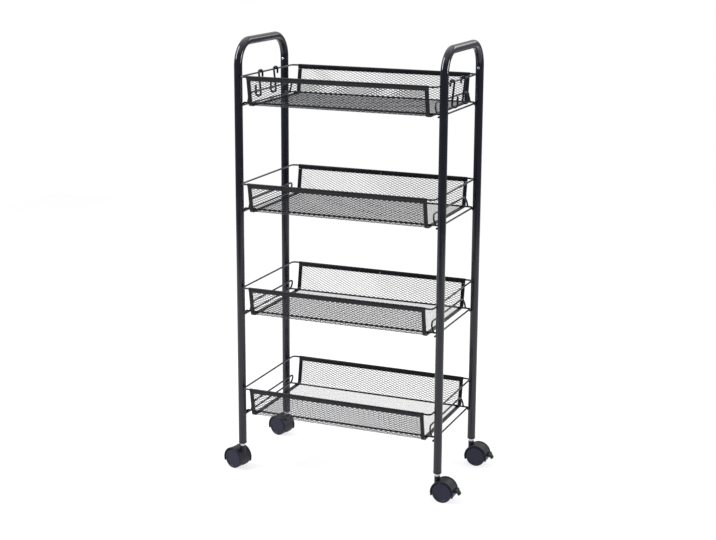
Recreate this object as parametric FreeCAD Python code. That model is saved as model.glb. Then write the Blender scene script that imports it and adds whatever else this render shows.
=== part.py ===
import FreeCAD, Part
import math
import os

from FreeCAD import Vector

# Four-tier rolling cart: tube legs, U-shaped handles, open-ended mesh baskets, S-hooks, twin-wheel casters.
# Millimetres, +Z up, origin on the floor below the middle of the cart. X runs along the baskets,
# -Y is the front. The casters on the -X side are plain, those on the +X side carry a brake pedal.

# Side frames
TOTAL_HEIGHT = 870.0
LEG_SPACING_X = 418.0
LEG_SPACING_Y = 208.0
LEG_TUBE_D = 16.0
LEG_TUBE_WALL = 1.0
HANDLE_BEND_R = 46.0
RAIL_OVERRUN = 3.0
WELD_SINK = 0.4

# Swaged joint between the handle and the legs, held by a spring button in each leg
SPIGOT_CLEARANCE = 0.1
SPIGOT_LENGTH = 30.0
SWAGE_LENGTH = 10.0
BUTTON_D = 5.0
BUTTON_RISE = 1.4
BUTTON_EDGE_R = 1.1
BUTTON_BELOW_BEND = 3.5
BUTTON_CLEARANCE = 0.1

# Tiers, counted from the top
TIER_NAMES = ("top", "upper", "lower", "bottom")
TOP_RIM_BELOW_HANDLE = 72.0
BOTTOM_RIM_Z = 174.0

# Basket wires
WIRE_D = 3.5
RIM_OVERHANG_Y = 15.0
RIM_CORNER_R = 8.0
RIM_LEG_CLEARANCE = 0.3
FLOOR_WIRE_INSET = 9.0
GUARD_INSET = 5.5
GUARD_LEAN = 5.5
GUARD_HEIGHT = 20.0
GUARD_SPLAY = 4.0
GUARD_CORNER_R = 12.0
RAIL_HOOK_CLEARANCE = 0.3
RAIL_HOOK_TAIL = 1.0

# Folded mesh tray, open at its short ends
TRAY_END_INSET = 15.0
WALL_DROP = 55.5
WALL_LEAN = 9.5
FOLD_R = 6.0
SHEET_T = 1.2
SHEET_TOP_GAP = 0.4
DIAMOND_LONG = 58.0
DIAMOND_SHORT = 26.0
STRAND_W = 4.0
MESH_MARGIN = 1.0

# Folded strips that close the tray's edges
STRIP_T = 0.8
STRIP_WIDTH = 7.0
STRIP_GAP = 0.1
STRIP_END_GAP = 0.3

# Stem socket in the end of each leg
SOCKET_WALL_CLEARANCE = 0.05
SOCKET_DEPTH = 34.0
SOCKET_FLANGE_T = 3.5
SOCKET_FLANGE_LIP = 0.3
SOCKET_EDGE_R = 3.0
SOCKET_LAND = 1.0

# Caster stem and the split ring that keeps it in the socket
STEM_D = 8.0
STEM_RUNNING_CLEARANCE = 0.05
STEM_INSERT = 30.0
STEM_COLLAR_D = 10.0
STEM_COLLAR_H = 4.0
STEM_COLLAR_GAP = 0.3
STEM_SEAT_DEPTH = 10.0
STEM_SEAT_CLEARANCE = 0.05
STEM_TIP_CHAMFER = 1.0
RING_BELOW_TIP = 5.0
RING_H = 3.0
RING_T = 1.2
RING_GROOVE = 1.0
RING_GAP = 0.1
RING_SLOT = 2.0

# Caster wheels on their axle
WHEEL_D = 40.0
WHEEL_W = 12.0
WHEEL_SHOULDER_R = 2.0
WHEEL_DISH_D = 31.0
WHEEL_DISH_DEPTH = 0.8
WHEEL_DISH_BEVEL = 1.0
WHEEL_CAP_T = 2.0
WHEEL_SIDE_GAP = 0.5
AXLE_D = 5.0
AXLE_RUNNING_CLEARANCE = 0.05
AXLE_END_GAP = 0.3
TRAIL = 14.0

# Caster hood: a web between the wheels, a fender over them and a boss for the stem
WEB_T = 7.0
WEB_HUB_D = 18.0
FENDER_GAP = 1.0
FENDER_T = 2.6
FENDER_EDGE_R = 0.8
FENDER_LIP_W = 3.0
FENDER_RECESS = 0.8
FENDER_TRAIL_ANGLE = -20.0
FENDER_LEAD_ANGLE = 200.0
BOSS_D = 11.5
BOSS_RISE = 4.5
BOSS_EDGE_R = 0.8

# Brake pedal between two ears on the fender
PEDAL_ANGLE = 10.0
PEDAL_HUB_D = 5.0
PEDAL_HUB_GAP = 0.4
PEDAL_WIDTH = 13.0
PEDAL_REACH = 10.5
PEDAL_T = 2.6
PEDAL_DROP = 58.0
PEDAL_CORNER_R = 3.0
PEDAL_SIDE_GAP = 0.3
PEDAL_PIN_D = 2.4
PEDAL_PIN_CLEARANCE = 0.05
PEDAL_EAR_T = 2.0
PEDAL_RIBS = 3
PEDAL_RIB_H = 0.5
PEDAL_RIB_W = 0.9
PEDAL_RIB_PITCH = 1.9

# Casters: name, side in X, side in Y, heading of the trail in degrees from +X, whether it has a brake
CASTERS = (
    ("front_left", -1, -1, 165.0, False),
    ("rear_left", -1, 1, 165.0, False),
    ("front_right", 1, -1, 0.0, True),
    ("rear_right", 1, 1, 0.0, True),
)

# S-hooks on the short-end rim wires of the top basket
HOOK_WIRE_D = 4.0
HOOK_RIM_CLEARANCE = 0.3
HOOK_TOP_TIP = 7.5
HOOK_LEAN = 5.8
HOOK_DEPTH = 41.5
HOOK_MOUTH = 11.0
HOOK_MOUTH_TIP = 14.0
HOOK_PLACES_Y = {
    "left": {"front": -27.0, "rear": 41.0},
    "right": {"front": -29.0, "rear": 34.0},
}

# Runs shorter than this are left out of a bent path
SHORTEST_RUN = 0.001

# Sizes worked out from the ones above
SIDES = {"left": -1, "right": 1}
LEG_X = LEG_SPACING_X / 2
LEG_Y = LEG_SPACING_Y / 2
TUBE_R = LEG_TUBE_D / 2
TUBE_BORE_R = TUBE_R - LEG_TUBE_WALL
HANDLE_Z = TOTAL_HEIGHT - TUBE_R
TOP_RIM_Z = TOTAL_HEIGHT - TOP_RIM_BELOW_HANDLE
TIER_PITCH = (TOP_RIM_Z - BOTTOM_RIM_Z) / (len(TIER_NAMES) - 1)
BEND_START_Z = HANDLE_Z - HANDLE_BEND_R
BUTTON_Z = BEND_START_Z - BUTTON_BELOW_BEND
FRAME_SEAM_Z = BEND_START_Z - SPIGOT_LENGTH
WIRE_R = WIRE_D / 2
RIM_HALF_DEPTH = LEG_Y + RIM_OVERHANG_Y
RIM_HALF_LENGTH = LEG_X - TUBE_R - WIRE_R - RIM_LEG_CLEARANCE
GUARD_X = RIM_HALF_LENGTH - GUARD_INSET
RAIL_X = LEG_X - TUBE_R - WIRE_R + WELD_SINK
TRAY_HALF_LENGTH = RIM_HALF_LENGTH - TRAY_END_INSET
STRIP_HALF = SHEET_T / 2 + STRIP_GAP + STRIP_T
FLOOR_HALF_DEPTH = RIM_HALF_DEPTH - WALL_LEAN
WALL_LENGTH = math.hypot(WALL_DROP, WALL_LEAN)
WALL_ANGLE = math.degrees(math.atan2(WALL_LEAN, WALL_DROP))
FOLD_SETBACK = FOLD_R * math.tan(math.radians(90 - WALL_ANGLE) / 2)
FLOOR_WIRE_Y = LEG_Y - FLOOR_WIRE_INSET
FLOOR_WIRE_DROP = WALL_DROP - STRIP_HALF - STRIP_GAP - WIRE_R
RAIL_HOOK_R = WIRE_D + RAIL_HOOK_CLEARANCE
WHEEL_R = WHEEL_D / 2
WHEEL_BORE_R = AXLE_D / 2 + AXLE_RUNNING_CLEARANCE
WHEEL_INNER_Y = WEB_T / 2 + WHEEL_SIDE_GAP
HOOD_HALF_W = WHEEL_INNER_Y + WHEEL_W
AXLE_HALF_LENGTH = HOOD_HALF_W - WHEEL_DISH_DEPTH - WHEEL_CAP_T - AXLE_END_GAP
FENDER_IN_R = WHEEL_R + FENDER_GAP
FENDER_OUT_R = FENDER_IN_R + FENDER_T
FENDER_MID_R = FENDER_IN_R + FENDER_T / 2
COLLAR_BOTTOM_Z = WHEEL_R + FENDER_OUT_R + BOSS_RISE
COLLAR_TOP_Z = COLLAR_BOTTOM_Z + STEM_COLLAR_H
LEG_END_Z = COLLAR_TOP_Z + STEM_COLLAR_GAP + SOCKET_FLANGE_T
STEM_FOOT_Z = COLLAR_BOTTOM_Z - STEM_SEAT_DEPTH
STEM_TIP_Z = LEG_END_Z + STEM_INSERT
RING_Z = STEM_TIP_Z - RING_BELOW_TIP - RING_H
RING_IN_R = STEM_D / 2 - RING_GROOVE + RING_GAP
RING_OUT_R = RING_IN_R + RING_T
PEDAL_PIVOT_R = FENDER_OUT_R + PEDAL_HUB_GAP + PEDAL_HUB_D / 2
PEDAL_PIN_HALF = PEDAL_WIDTH / 2 + PEDAL_SIDE_GAP + PEDAL_EAR_T
HOOK_TOP_R = WIRE_R + HOOK_RIM_CLEARANCE + HOOK_WIRE_D / 2

ORIGIN = Vector(0, 0, 0)
ALONG_X = Vector(1, 0, 0)
ALONG_Y = Vector(0, 1, 0)
UP = Vector(0, 0, 1)


def rim_z(tier):
    """Height of the rim wire's axis on a tier, counted from the top."""
    return TOP_RIM_Z - tier * TIER_PITCH


def rail_z(tier):
    """Height of the cross rail's axis, under the floor wires that hook over it."""
    return rim_z(tier) - FLOOR_WIRE_DROP - RAIL_HOOK_R


# Shared operations


def bent_path(points, radius):
    """A wire of straight runs through the points, with a tangent arc of the radius at each inner point."""
    edges = []
    start = points[0]
    for before, corner, after in zip(points, points[1:], points[2:]):
        into = (corner - before).normalize()
        out = (after - corner).normalize()
        half_turn = into.getAngle(out) / 2
        first = corner - into * (radius * math.tan(half_turn))
        last = corner + out * (radius * math.tan(half_turn))
        inward = (out - into).normalize()
        middle = corner + inward * (radius / math.cos(half_turn) - radius)
        if start.distanceToPoint(first) > SHORTEST_RUN:
            edges.append(Part.LineSegment(start, first).toShape())
        edges.append(Part.Arc(first, middle, last).toShape())
        start = last
    if start.distanceToPoint(points[-1]) > SHORTEST_RUN:
        edges.append(Part.LineSegment(start, points[-1]).toShape())
    return Part.Wire(edges)


def round_bar(path, radius):
    """A solid of round section swept along a path."""
    first = path.OrderedEdges[0]
    start = first.valueAt(first.FirstParameter)
    section = Part.makeCircle(radius, start, first.tangentAt(first.FirstParameter))
    return path.makePipeShell([Part.Wire(section)], True, False)


def blunt_wire(path, radius):
    """A round bar along an open path, with domed ends."""
    ends = [path.OrderedVertexes[i].Point for i in (0, -1)]
    return joined([round_bar(path, radius)] + [Part.makeSphere(radius, end) for end in ends])


def turned(profile, axis):
    """A solid of revolution from a closed profile of (radius, height) corners about an axis direction."""
    points = [ALONG_X * radius + axis * height for radius, height in profile]
    face = Part.Face(Part.makePolygon(points + points[:1]))
    return face.revolve(ORIGIN, axis, 360)


def circles_of(shape, radius):
    """The circular edges of a shape that have a given radius."""
    return [
        edge
        for edge in shape.Edges
        if isinstance(edge.Curve, Part.Circle) and abs(edge.Curve.Radius - radius) < SHORTEST_RUN
    ]


def moved(shape, x=0.0, y=0.0, z=0.0):
    """A copy of a shape, shifted."""
    return shape.translated(Vector(x, y, z))


def joined(shapes):
    """One solid from shapes that meet."""
    return shapes[0].multiFuse(shapes[1:]).removeSplitter()


def save(name, shape):
    """Write one piece under its name, as a plain solid or a group of solids."""
    solids = shape.Solids
    body = solids[0] if len(solids) == 1 else Part.makeCompound(solids)
    body.exportStep(os.path.join("parts", name + ".step"))


# Side frames


def inward_cylinder(side, leg_side, radius, from_r, to_r):
    """Cylinder at button height that points from one leg's axis towards the other leg of its side."""
    inward = ALONG_Y * -leg_side
    start = Vector(side * LEG_X, leg_side * LEG_Y, BUTTON_Z) + inward * from_r
    return Part.makeCylinder(radius, to_r - from_r, start, inward)


def upper_frame(side):
    """U-shaped tube whose top bar is the handle, with a hole for the spring button near each end."""
    x = side * LEG_X
    path = bent_path(
        [
            Vector(x, -LEG_Y, FRAME_SEAM_Z),
            Vector(x, -LEG_Y, HANDLE_Z),
            Vector(x, LEG_Y, HANDLE_Z),
            Vector(x, LEG_Y, FRAME_SEAM_Z),
        ],
        HANDLE_BEND_R,
    )
    tube = round_bar(path, TUBE_R).cut(round_bar(path, TUBE_BORE_R))
    hole_r = BUTTON_D / 2 + BUTTON_CLEARANCE
    return tube.cut([inward_cylinder(side, leg_side, hole_r, 0, TUBE_R) for leg_side in (-1, 1)])


def leg_tube():
    """Leg on the Z axis, drawn in at its top to a spigot that plugs into the handle."""
    spigot_r = TUBE_BORE_R - SPIGOT_CLEARANCE
    spigot_bore_r = spigot_r - LEG_TUBE_WALL
    profile = [
        (TUBE_BORE_R, LEG_END_Z),
        (TUBE_R, LEG_END_Z),
        (TUBE_R, FRAME_SEAM_Z),
        (spigot_r, FRAME_SEAM_Z),
        (spigot_r, BEND_START_Z),
        (spigot_bore_r, BEND_START_Z),
        (spigot_bore_r, FRAME_SEAM_Z),
        (TUBE_BORE_R, FRAME_SEAM_Z - SWAGE_LENGTH),
    ]
    return turned(profile, UP)


def spring_button(side, leg_side):
    """Button with a rounded edge, from the spigot's wall out through the handle tube."""
    wall_middle_r = TUBE_BORE_R - SPIGOT_CLEARANCE - LEG_TUBE_WALL / 2
    tip_r = TUBE_R + BUTTON_RISE
    button = inward_cylinder(side, leg_side, BUTTON_D / 2, wall_middle_r, tip_r)
    outer = [edge for edge in circles_of(button, BUTTON_D / 2) if abs(edge.CenterOfMass.y) < LEG_Y - TUBE_R]
    return button.makeFillet(BUTTON_EDGE_R, outer)


def cross_rails(side):
    """The wires welded between the front and rear legs of one side, one for each tier."""
    half = LEG_Y + RAIL_OVERRUN
    start = Vector(side * RAIL_X, -half, 0)
    return [
        Part.makeCylinder(WIRE_R, 2 * half, start + UP * rail_z(tier), ALONG_Y)
        for tier in range(len(TIER_NAMES))
    ]


def lower_frame(side):
    """The two legs of one side, with their spring buttons, joined by the cross rails."""
    pieces = []
    for leg_side in (-1, 1):
        pieces.append(moved(leg_tube(), side * LEG_X, leg_side * LEG_Y))
        pieces.append(spring_button(side, leg_side))
    return joined(pieces + cross_rails(side))


def stem_socket():
    """Plastic plug with a domed end for a leg, with a bore and a ring groove for the caster stem."""
    bore_r = STEM_D / 2 + STEM_RUNNING_CLEARANCE
    plug_r = TUBE_BORE_R - SOCKET_WALL_CLEARANCE
    flange_r = TUBE_R + SOCKET_FLANGE_LIP
    bottom = LEG_END_Z - SOCKET_FLANGE_T
    top = LEG_END_Z + SOCKET_DEPTH
    groove_r = RING_OUT_R + RING_GAP
    profile = [
        (bore_r, bottom),
        (flange_r, bottom),
        (flange_r, LEG_END_Z),
        (plug_r, LEG_END_Z),
        (plug_r, top),
        (bore_r, top),
        (bore_r, RING_Z + RING_H + RING_GAP),
        (groove_r, RING_Z + RING_H + RING_GAP),
        (groove_r, RING_Z - RING_GAP),
        (bore_r, RING_Z - RING_GAP),
    ]
    socket = turned(profile, UP)
    lower = [edge for edge in circles_of(socket, flange_r) if edge.BoundBox.ZMax < LEG_END_Z]
    return socket.makeFillet(min(SOCKET_EDGE_R, flange_r - bore_r - SOCKET_LAND), lower)


# Baskets, modelled with the rim wire's axis at height 0


def rim_wire():
    """Closed loop of wire round the top of a basket."""
    x, y = RIM_HALF_LENGTH, RIM_HALF_DEPTH
    corners = [Vector(x, -y, 0), Vector(x, y, 0), Vector(-x, y, 0), Vector(-x, -y, 0)]
    middle = Vector(0, -y, 0)
    return round_bar(bent_path([middle] + corners + [middle], RIM_CORNER_R), WIRE_R)


def floor_wire(y):
    """Wire along the tray floor, whose ends turn down over the cross rails."""
    x = RAIL_X + RAIL_HOOK_R
    top = -FLOOR_WIRE_DROP
    tail = top - RAIL_HOOK_R - RAIL_HOOK_TAIL
    points = [Vector(-x, y, tail), Vector(-x, y, top), Vector(x, y, top), Vector(x, y, tail)]
    return blunt_wire(bent_path(points, RAIL_HOOK_R), WIRE_R)


def end_guard(side):
    """Hoop of wire across an open end of the tray, standing on the two floor wires and leaning inwards."""
    x = side * GUARD_X
    top_x = side * (GUARD_X - GUARD_LEAN)
    foot = WELD_SINK - FLOOR_WIRE_DROP
    top = GUARD_HEIGHT - FLOOR_WIRE_DROP
    wide = FLOOR_WIRE_Y + GUARD_SPLAY
    points = [
        Vector(x, -FLOOR_WIRE_Y, foot),
        Vector(top_x, -wide, top),
        Vector(top_x, wide, top),
        Vector(x, FLOOR_WIRE_Y, foot),
    ]
    return round_bar(bent_path(points, GUARD_CORNER_R), WIRE_R)


def cradle():
    """The floor wires and end guards of one basket, welded into one frame."""
    wires = [floor_wire(y) for y in (-FLOOR_WIRE_Y, FLOOR_WIRE_Y)]
    guards = [end_guard(side) for side in SIDES.values()]
    return joined(wires + guards)


def down_wall(distance, side):
    """Point on a long wall's middle plane at a distance down from the rim axis, at X = 0."""
    share = distance / WALL_LENGTH
    return Vector(0, side * (RIM_HALF_DEPTH - WALL_LEAN * share), -WALL_DROP * share)


def folded_sheet(start_x, end_x, half_t, top_distance):
    """Sheet of a given half thickness that follows wall, floor and wall, from one X to another."""
    front_top = down_wall(top_distance, -1)
    path = bent_path(
        [
            front_top,
            Vector(0, -FLOOR_HALF_DEPTH, -WALL_DROP),
            Vector(0, FLOOR_HALF_DEPTH, -WALL_DROP),
            down_wall(top_distance, 1),
        ],
        FOLD_R,
    )
    down = (down_wall(WALL_LENGTH, -1) - front_top).normalize()
    across = ALONG_X.cross(down) * half_t
    left = front_top + ALONG_X * start_x
    right = front_top + ALONG_X * end_x
    section = Part.makePolygon([left - across, right - across, right + across, left + across, left - across])
    return path.makePipeShell([section], True, False)


def diamond_lattice(length, width):
    """Staggered diamonds that fill a rectangle centred on the origin, as one group of prisms through XY."""
    columns = round(length / DIAMOND_LONG)
    half_rows = round(2 * width / DIAMOND_SHORT)
    half_long = length / columns / 2
    half_short = width / half_rows
    narrowing = 1 - STRAND_W / 2 * math.hypot(1 / half_long, 1 / half_short)
    tip_x = half_long * narrowing
    tip_y = half_short * narrowing
    corners = [Vector(tip_x, 0, -SHEET_T), Vector(0, tip_y, -SHEET_T)]
    corners += [Vector(-tip_x, 0, -SHEET_T), Vector(0, -tip_y, -SHEET_T)]
    prism = Part.Face(Part.makePolygon(corners + corners[:1])).extrude(UP * 2 * SHEET_T)
    holes = []
    for row in range(half_rows - 1):
        in_row = columns - row % 2
        for column in range(in_row):
            x = (2 * column - in_row + 1) * half_long
            y = (row + 1) * half_short - width / 2
            holes.append(moved(prism, x, y))
    return Part.makeCompound(holes)


def mesh_tray():
    """One expanded sheet folded into a floor and two leaning long walls."""
    end = TRAY_HALF_LENGTH - STRIP_T - STRIP_GAP
    sheet = folded_sheet(-end, end, SHEET_T / 2, WIRE_R + SHEET_TOP_GAP)
    open_length = 2 * (TRAY_HALF_LENGTH - STRIP_WIDTH - MESH_MARGIN)
    floor_width = 2 * (FLOOR_HALF_DEPTH - FOLD_SETBACK - MESH_MARGIN)
    floor_holes = moved(diamond_lattice(open_length, floor_width), z=-WALL_DROP)
    wall_top = STRIP_WIDTH + MESH_MARGIN
    wall_bottom = WALL_LENGTH - FOLD_SETBACK - MESH_MARGIN
    wall_holes = []
    for side in (-1, 1):
        holes = diamond_lattice(open_length, wall_bottom - wall_top)
        holes.rotate(ORIGIN, ALONG_X, 90 - side * WALL_ANGLE)
        holes.translate(down_wall((wall_top + wall_bottom) / 2, side))
        wall_holes.append(holes)
    return sheet.cut([floor_holes] + wall_holes)


def end_bindings():
    """Folded strips over the tray's short edges, one at each end."""
    top = STRIP_WIDTH + STRIP_END_GAP
    outer = folded_sheet(TRAY_HALF_LENGTH - STRIP_WIDTH, TRAY_HALF_LENGTH, STRIP_HALF, top)
    slot_start = TRAY_HALF_LENGTH - STRIP_WIDTH - STRIP_T
    slot = folded_sheet(slot_start, TRAY_HALF_LENGTH - STRIP_T, STRIP_HALF - STRIP_T, top - STRIP_T)
    strip = outer.cut(slot)
    return Part.makeCompound([strip, strip.mirror(ORIGIN, ALONG_X)])


def hairpin_points(circle_r, leaf_half):
    """Corners of one line of the band's hairpin: leaf end, tangent point, crown, tangent point, leaf end."""
    reach = math.hypot(leaf_half, STRIP_WIDTH)
    angle = math.acos(circle_r / reach) - math.atan2(STRIP_WIDTH, leaf_half)
    tangent_y = circle_r * math.cos(angle)
    tangent_z = circle_r * math.sin(angle)
    return [
        Vector(0, leaf_half, -STRIP_WIDTH),
        Vector(0, tangent_y, tangent_z),
        Vector(0, 0, circle_r),
        Vector(0, -tangent_y, tangent_z),
        Vector(0, -leaf_half, -STRIP_WIDTH),
    ]


def top_bands():
    """Strips folded over the rim wire that clamp the upper edges of the two long walls."""
    outer = hairpin_points(WIRE_R + STRIP_GAP + STRIP_T, STRIP_HALF)
    inner = hairpin_points(WIRE_R + STRIP_GAP, STRIP_HALF - STRIP_T)
    edges = []
    for line in (outer, inner):
        edges.append(Part.LineSegment(line[0], line[1]).toShape())
        edges.append(Part.Arc(line[1], line[2], line[3]).toShape())
        edges.append(Part.LineSegment(line[3], line[4]).toShape())
    edges.append(Part.LineSegment(outer[0], inner[0]).toShape())
    edges.append(Part.LineSegment(outer[-1], inner[-1]).toShape())
    section = Part.Face(Part.Wire(Part.__sortEdges__(edges)))
    band = moved(section.extrude(ALONG_X * 2 * TRAY_HALF_LENGTH), -TRAY_HALF_LENGTH)
    bands = []
    for side in (-1, 1):
        leaning = band.copy()
        leaning.rotate(ORIGIN, ALONG_X, -side * WALL_ANGLE)
        bands.append(moved(leaning, y=side * RIM_HALF_DEPTH))
    return Part.makeCompound(bands)


# Casters, modelled with the stem on the Z axis and the wheels trailing along +X


def caster_stem():
    """Steel stem with a collar that bears on the hood, and a groove for the split ring."""
    stem_r = STEM_D / 2
    collar_r = STEM_COLLAR_D / 2
    groove_r = stem_r - RING_GROOVE
    profile = [
        (0, STEM_FOOT_Z),
        (stem_r, STEM_FOOT_Z),
        (stem_r, COLLAR_BOTTOM_Z),
        (collar_r, COLLAR_BOTTOM_Z),
        (collar_r, COLLAR_TOP_Z),
        (stem_r, COLLAR_TOP_Z),
        (stem_r, RING_Z - RING_GAP),
        (groove_r, RING_Z - RING_GAP),
        (groove_r, RING_Z + RING_H + RING_GAP),
        (stem_r, RING_Z + RING_H + RING_GAP),
        (stem_r, STEM_TIP_Z - STEM_TIP_CHAMFER),
        (stem_r - STEM_TIP_CHAMFER, STEM_TIP_Z),
        (0, STEM_TIP_Z),
    ]
    return turned(profile, UP)


def grip_ring():
    """Split spring ring in the stem's groove."""
    start = UP * RING_Z
    ring = Part.makeCylinder(RING_OUT_R, RING_H, start).cut(Part.makeCylinder(RING_IN_R, RING_H, start))
    slot = Part.makeBox(RING_OUT_R, RING_SLOT, RING_H, start - ALONG_Y * RING_SLOT / 2)
    return ring.cut(slot)


def axle_point(radius, angle):
    """Point at a radius and angle from the axle, in the caster's middle plane."""
    turn = math.radians(angle)
    return Vector(TRAIL + radius * math.cos(turn), 0, WHEEL_R + radius * math.sin(turn))


def axle_arc(radius):
    """Arc about the axle that spans the fender."""
    middle = (FENDER_TRAIL_ANGLE + FENDER_LEAD_ANGLE) / 2
    ends = [axle_point(radius, a) for a in (FENDER_TRAIL_ANGLE, middle, FENDER_LEAD_ANGLE)]
    return Part.Arc(*ends).toShape()


def across_caster(edges, half_width):
    """A flat outline in the caster's middle plane, thickened to both sides."""
    face = Part.Face(Part.Wire(Part.__sortEdges__(edges)))
    return moved(face.extrude(ALONG_Y * 2 * half_width), y=-half_width)


def axle_cylinder(radius, from_y, to_y):
    """Cylinder about the axle between two Y positions."""
    return Part.makeCylinder(radius, to_y - from_y, axle_point(0, 0) + ALONG_Y * from_y, ALONG_Y)


def fender():
    """Shell over both wheels, with its outer edges rounded and a shallow recess between two lips."""
    lines = [
        Part.LineSegment(axle_point(FENDER_IN_R, angle), axle_point(FENDER_OUT_R, angle)).toShape()
        for angle in (FENDER_TRAIL_ANGLE, FENDER_LEAD_ANGLE)
    ]
    shell = across_caster(lines + [axle_arc(FENDER_IN_R), axle_arc(FENDER_OUT_R)], HOOD_HALF_W)
    shell = shell.makeFillet(FENDER_EDGE_R, circles_of(shell, FENDER_OUT_R))
    half_recess = HOOD_HALF_W - FENDER_LIP_W
    recess = axle_cylinder(FENDER_OUT_R + FENDER_T, -half_recess, half_recess)
    return shell.cut(recess.cut(axle_cylinder(FENDER_OUT_R - FENDER_RECESS, -half_recess, half_recess)))


def hood_web():
    """Plate between the wheels, from the axle hub out to the fender."""
    lines = [
        Part.LineSegment(axle_point(0, 0), axle_point(FENDER_MID_R, angle)).toShape()
        for angle in (FENDER_TRAIL_ANGLE, FENDER_LEAD_ANGLE)
    ]
    plate = across_caster(lines + [axle_arc(FENDER_MID_R)], WEB_T / 2)
    return plate.fuse(axle_cylinder(WEB_HUB_D / 2, -WEB_T / 2, WEB_T / 2))


def stem_boss():
    """Round boss that holds the stem, hollowed below so that the wheels clear it."""
    foot_z = WHEEL_R + BOSS_D / 2
    boss = Part.makeCylinder(BOSS_D / 2, COLLAR_BOTTOM_Z - foot_z, UP * foot_z)
    boss = boss.makeFillet(BOSS_EDGE_R, circles_of(boss, BOSS_D / 2))
    wheel_room = [
        axle_cylinder(FENDER_IN_R, WEB_T / 2, HOOD_HALF_W),
        axle_cylinder(FENDER_IN_R, -HOOD_HALF_W, -WEB_T / 2),
    ]
    return boss.cut(wheel_room)


def pedal_ears():
    """Two ears on the fender that carry the brake pedal."""
    pivot = axle_point(PEDAL_PIVOT_R, 0)
    depth = PEDAL_PIVOT_R - FENDER_MID_R
    ears = []
    for side in (-1, 1):
        middle_y = side * (PEDAL_PIN_HALF - PEDAL_EAR_T / 2)
        start = pivot + ALONG_Y * (middle_y - PEDAL_EAR_T / 2)
        tip = Part.makeCylinder(PEDAL_HUB_D / 2, PEDAL_EAR_T, start, ALONG_Y)
        root = Part.makeBox(depth, PEDAL_EAR_T, PEDAL_HUB_D, start - ALONG_X * depth - UP * PEDAL_HUB_D / 2)
        hole = Part.makeCylinder(PEDAL_PIN_D / 2 + PEDAL_PIN_CLEARANCE, PEDAL_EAR_T, start, ALONG_Y)
        ear = tip.fuse(root).cut(hole)
        ear.rotate(axle_point(0, 0), ALONG_Y, -PEDAL_ANGLE)
        ears.append(ear)
    return ears


def caster_hood(braked):
    """Moulded hood: web, fender and stem boss, with ears for the pedal where there is a brake."""
    pieces = [hood_web(), fender(), stem_boss()]
    if braked:
        pieces += pedal_ears()
    stem_hole = Part.makeCylinder(STEM_D / 2 + STEM_SEAT_CLEARANCE, STEM_SEAT_DEPTH, UP * STEM_FOOT_Z)
    axle_hole = axle_cylinder(AXLE_D / 2 + STEM_SEAT_CLEARANCE, -WEB_T / 2, WEB_T / 2)
    return joined(pieces).cut([stem_hole, axle_hole])


def caster_axle():
    """Steel pin through the web into both wheels."""
    return axle_cylinder(AXLE_D / 2, -AXLE_HALF_LENGTH, AXLE_HALF_LENGTH)


def caster_wheel(side):
    """Moulded wheel with rounded shoulders, a dished outer face and a blind hub bore."""
    face = WHEEL_W - WHEEL_DISH_DEPTH
    profile = [
        (WHEEL_BORE_R, 0),
        (WHEEL_R, 0),
        (WHEEL_R, WHEEL_W),
        (WHEEL_DISH_D / 2, WHEEL_W),
        (WHEEL_DISH_D / 2 - WHEEL_DISH_BEVEL, face),
        (0, face),
        (0, face - WHEEL_CAP_T),
        (WHEEL_BORE_R, face - WHEEL_CAP_T),
    ]
    wheel = turned(profile, ALONG_Y * side)
    wheel = wheel.makeFillet(WHEEL_SHOULDER_R, circles_of(wheel, WHEEL_R))
    return wheel.translated(axle_point(0, 0) + ALONG_Y * side * WHEEL_INNER_Y)


def brake_pedal():
    """Moulded pedal pressed down, as when it locks the wheels, with its pivot pins and a ribbed tread."""
    pivot = axle_point(PEDAL_PIVOT_R, PEDAL_ANGLE)
    half = PEDAL_WIDTH / 2
    hub = Part.makeCylinder(PEDAL_HUB_D / 2, PEDAL_WIDTH, pivot - ALONG_Y * half, ALONG_Y)
    pin = Part.makeCylinder(PEDAL_PIN_D / 2, 2 * PEDAL_PIN_HALF, pivot - ALONG_Y * PEDAL_PIN_HALF, ALONG_Y)
    tab_corner = pivot - ALONG_Y * half + UP * (PEDAL_HUB_D / 2 - PEDAL_T)
    tab = Part.makeBox(PEDAL_REACH, PEDAL_WIDTH, PEDAL_T, tab_corner)
    outer = [
        edge
        for edge in tab.Edges
        if edge.BoundBox.XLength < SHORTEST_RUN
        and edge.BoundBox.YLength < SHORTEST_RUN
        and edge.CenterOfMass.x > pivot.x + PEDAL_REACH / 2
    ]
    tab = tab.makeFillet(PEDAL_CORNER_R, outer)
    ribs = []
    for rib in range(PEDAL_RIBS):
        x = PEDAL_REACH - PEDAL_CORNER_R - rib * PEDAL_RIB_PITCH
        corner = tab_corner + ALONG_X * x + UP * PEDAL_T + ALONG_Y * PEDAL_CORNER_R
        ribs.append(Part.makeBox(PEDAL_RIB_W, PEDAL_WIDTH - 2 * PEDAL_CORNER_R, PEDAL_RIB_H, corner))
    pedal = joined([hub, pin, tab] + ribs)
    pedal.rotate(pivot, ALONG_Y, PEDAL_DROP)
    return pedal


# S-hooks, modelled with the rim wire's axis at the origin


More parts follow.
